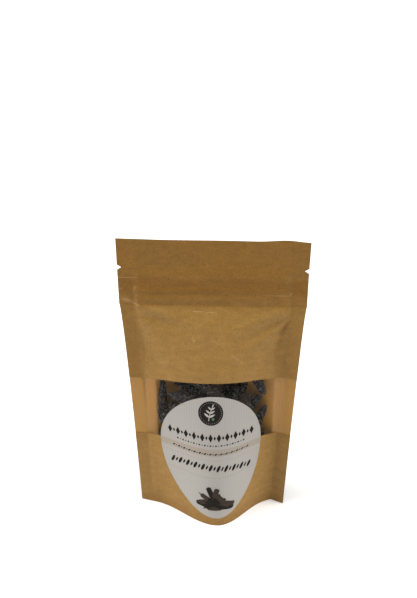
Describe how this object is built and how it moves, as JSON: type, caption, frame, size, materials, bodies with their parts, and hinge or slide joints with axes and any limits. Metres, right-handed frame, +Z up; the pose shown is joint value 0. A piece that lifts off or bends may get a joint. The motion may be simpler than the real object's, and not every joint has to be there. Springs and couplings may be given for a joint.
{
  "type": "stand-up pouch of long pepper",
  "caption": "Sealed kraft-paper stand-up pouch with a press-to-close zip, a clear window band and an egg-shaped front label, filled with dried long pepper spikes.",
  "frame": {"origin": "on the surface that the pouch stands on, in the middle of its base", "axes": "+Z up along the pouch's height, +X across its width to the right as the front is seen, -Y out of its front"},
  "size_m": [0.11, 0.045, 0.1811],
  "materials": {
    "kraft": "kraft paper laminate, matt",
    "film": "clear plastic film, slightly frosted",
    "zip": "translucent polyethylene, satin",
    "label": "laid paper, matt",
    "pepper": "dried plant, rough and dusty"
  },
  "bodies": {
    "root": {"back_panel": "kraft", "front_lower": "kraft", "front_upper": "kraft", "gusset": "kraft", "window_film": "film", "label": "label", "zip_rib": "zip", "zip_groove": "zip", "pepper_01": "pepper", "pepper_02": "pepper", "pepper_03": "pepper", "pepper_04": "pepper", "pepper_05": "pepper", "pepper_06": "pepper", "pepper_07": "pepper", "pepper_08": "pepper", "pepper_09": "pepper", "pepper_10": "pepper", "pepper_11": "pepper", "pepper_12": "pepper", "pepper_13": "pepper", "pepper_14": "pepper", "pepper_15": "pepper", "pepper_16": "pepper", "pepper_17": "pepper", "pepper_18": "pepper", "pepper_19": "pepper", "pepper_20": "pepper", "pepper_21": "pepper", "pepper_22": "pepper", "pepper_23": "pepper", "pepper_24": "pepper", "pepper_25": "pepper", "pepper_26": "pepper", "pepper_27": "pepper", "pepper_28": "pepper", "pepper_29": "pepper", "pepper_30": "pepper", "pepper_31": "pepper", "pepper_32": "pepper", "pepper_33": "pepper", "pepper_34": "pepper", "pepper_35": "pepper", "pepper_36": "pepper", "pepper_37": "pepper", "pepper_38": "pepper", "pepper_39": "pepper", "pepper_40": "pepper", "pepper_41": "pepper", "pepper_42": "pepper", "pepper_43": "pepper", "pepper_44": "pepper", "pepper_45": "pepper", "pepper_46": "pepper", "pepper_47": "pepper", "pepper_48": "pepper", "pepper_49": "pepper", "pepper_50": "pepper", "pepper_51": "pepper", "pepper_52": "pepper"}
  },
  "joints": []
}
